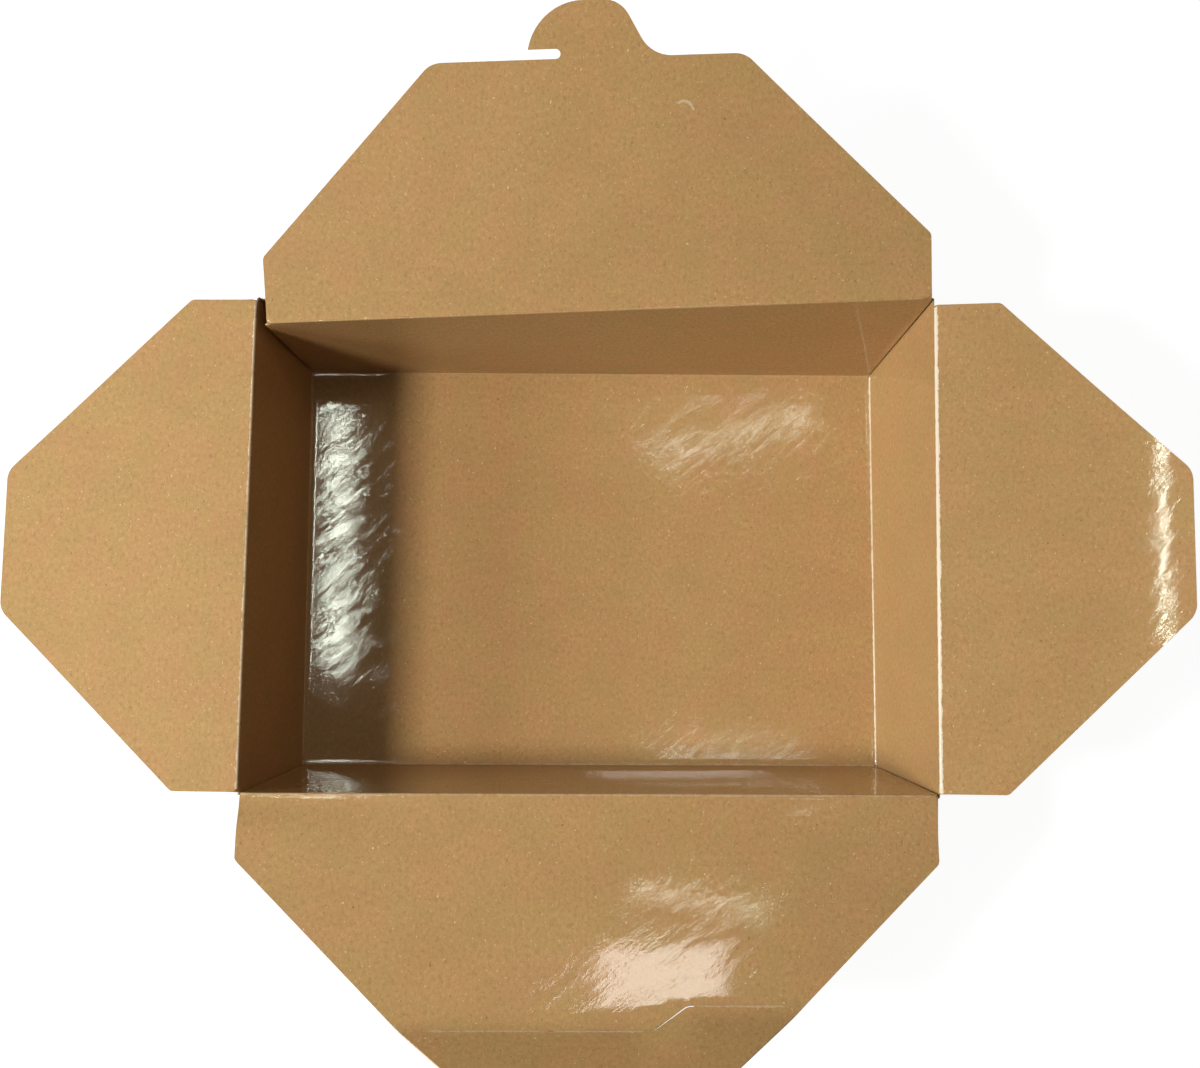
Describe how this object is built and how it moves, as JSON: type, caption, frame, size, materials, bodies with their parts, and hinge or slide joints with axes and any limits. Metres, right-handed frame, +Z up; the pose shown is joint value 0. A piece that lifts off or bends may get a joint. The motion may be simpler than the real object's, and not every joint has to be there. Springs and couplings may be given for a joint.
{
  "type": "takeaway box",
  "caption": "Folded kraft-board takeaway food box with flared walls, standing open, with end flaps and two long flaps that close with a hooked tab in a slit.",
  "frame": {"origin": "centre of the floor's underside, which is the face the box stands on", "axes": "+X along the box's long side to the right, +Y from the slit flap at the front to the hooked flap at the back, +Z up"},
  "size_m": [0.3695, 0.3241, 0.0952],
  "materials": {
    "kraft_board": "satin"
  },
  "bodies": {
    "tray": {"tray": "kraft_board"},
    "front_flap": {"front_flap": "kraft_board"},
    "back_flap": {"back_flap": "kraft_board"},
    "left_flap": {"left_flap": "kraft_board"},
    "right_flap": {"right_flap": "kraft_board"}
  },
  "joints": [
    {"name": "right_flap_fold", "type": "hinge", "parent": "tray", "child": "right_flap", "pos_m": [0.10857, 0, 0.0632], "axis": [-0.0101, -0.9999, 0], "range_deg": [-62, 169]},
    {"name": "left_flap_fold", "type": "hinge", "parent": "tray", "child": "left_flap", "pos_m": [-0.10857, 0, 0.0632], "axis": [0.0101, 0.9999, 0], "range_deg": [-45, 186]},
    {"name": "back_flap_fold", "type": "hinge", "parent": "tray", "child": "back_flap", "pos_m": [0.00077, 0.07473, 0.064], "axis": [0.9989, 0.0459, 0], "range_deg": [-55.5, 153]},
    {"name": "front_flap_fold", "type": "hinge", "parent": "tray", "child": "front_flap", "pos_m": [-0.0008, -0.0781, 0.064], "axis": [-1, 0, 0], "range_deg": [-54, 159]}
  ]
}
